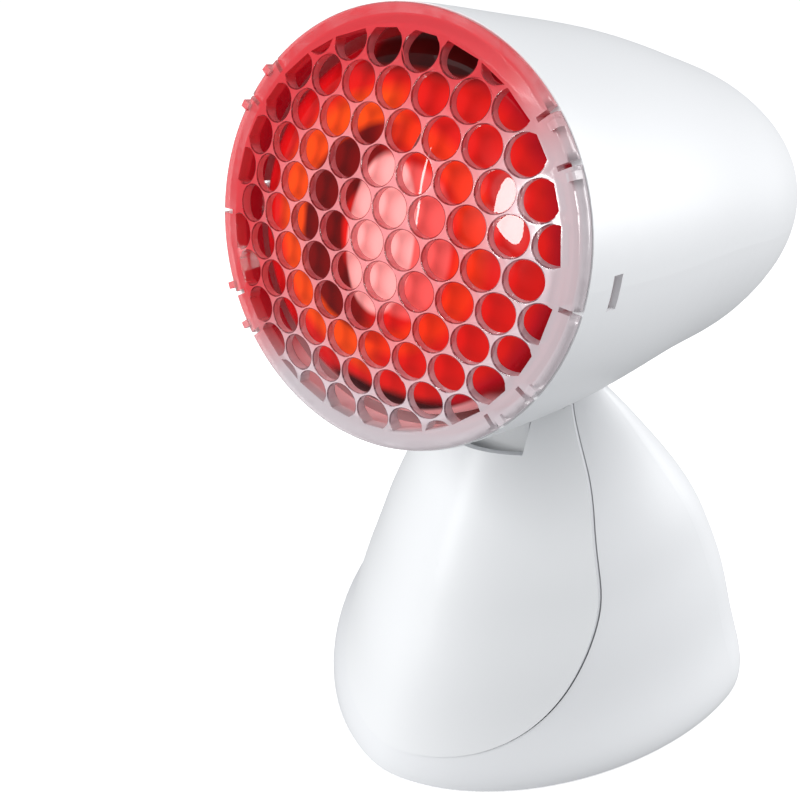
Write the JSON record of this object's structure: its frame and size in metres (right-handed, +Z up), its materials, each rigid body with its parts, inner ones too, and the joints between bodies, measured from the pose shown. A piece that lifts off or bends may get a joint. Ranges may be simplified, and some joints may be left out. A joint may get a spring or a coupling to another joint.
{
  "type": "infrared heat therapy lamp",
  "caption": "Table heat lamp with a bullet-shaped tilting head, a perforated clear front cover over a red reflector bulb and a bell-shaped foot.",
  "frame": {"origin": "middle of the lamp's bounding box, on the surface that it stands on", "axes": "+Z up, -Y towards the front cover, +X to the lamp's right seen from the front"},
  "size_m": [0.1262, 0.1983, 0.2055],
  "materials": {
    "shell_white": "moulded shell, smooth gloss white",
    "panel_white": "moulded front panel, smooth gloss white",
    "cover_clear": "clear moulded grille",
    "bulb_red": "red pressed glass",
    "bulb_clear": "clear glass",
    "filament": "bare tungsten and wire",
    "cap_brass": "spun brass",
    "steel": "plated steel",
    "shield_alu": "pressed aluminium",
    "holder_ceramic": "glazed white ceramic",
    "inner_plastic": "plain moulded",
    "plate_grey": "plain moulded grey",
    "rubber": "matt rubber",
    "switch_black": "moulded black",
    "bushing_grey": "soft grey",
    "wire": "insulated wire"
  },
  "bodies": {
    "foot": {"foot_shell": "shell_white", "front_panel": "panel_white", "bottom_plate": "plate_grey", "plate_screws": "steel", "rubber_pads": "rubber", "hinge_pin": "steel", "hinge_washers": "inner_plastic", "pin_clips": "steel", "detent_spring": "steel", "detent_screw": "steel", "switch_housing": "switch_black", "switch_blades": "cap_brass", "cord_inlet": "bushing_grey", "terminal_block": "inner_plastic", "terminal_screws": "steel", "cord_clamp": "inner_plastic", "clamp_screws": "steel", "foot_leads": "wire"},
    "head": {"head_shell": "shell_white", "front_cover": "cover_clear", "bulb_glass": "bulb_red", "bulb_stem": "bulb_clear", "bulb_filament": "filament", "bulb_cap": "cap_brass", "bulb_insulator": "switch_black", "bulb_button": "cap_brass", "holder_body": "holder_ceramic", "holder_sleeve": "cap_brass", "holder_contact": "cap_brass", "heat_shield": "shield_alu", "holder_bracket": "steel", "bracket_screws": "steel", "holder_screws": "steel", "head_leg": "inner_plastic", "clamp_plate": "inner_plastic", "leg_screws": "steel", "head_leads": "wire"},
    "rocker": {"switch_rocker": "switch_black"}
  },
  "joints": [
    {"name": "head_tilt", "type": "hinge", "parent": "foot", "child": "head", "pos_m": [0, -0.03067, 0.08403], "axis": [1, 0, 0], "range_deg": [-12, 12]},
    {"name": "switch_rock", "type": "hinge", "parent": "foot", "child": "rocker", "pos_m": [0, 0.03636, 0.04038], "axis": [1, 0, 0], "range_deg": [0, 20]}
  ]
}
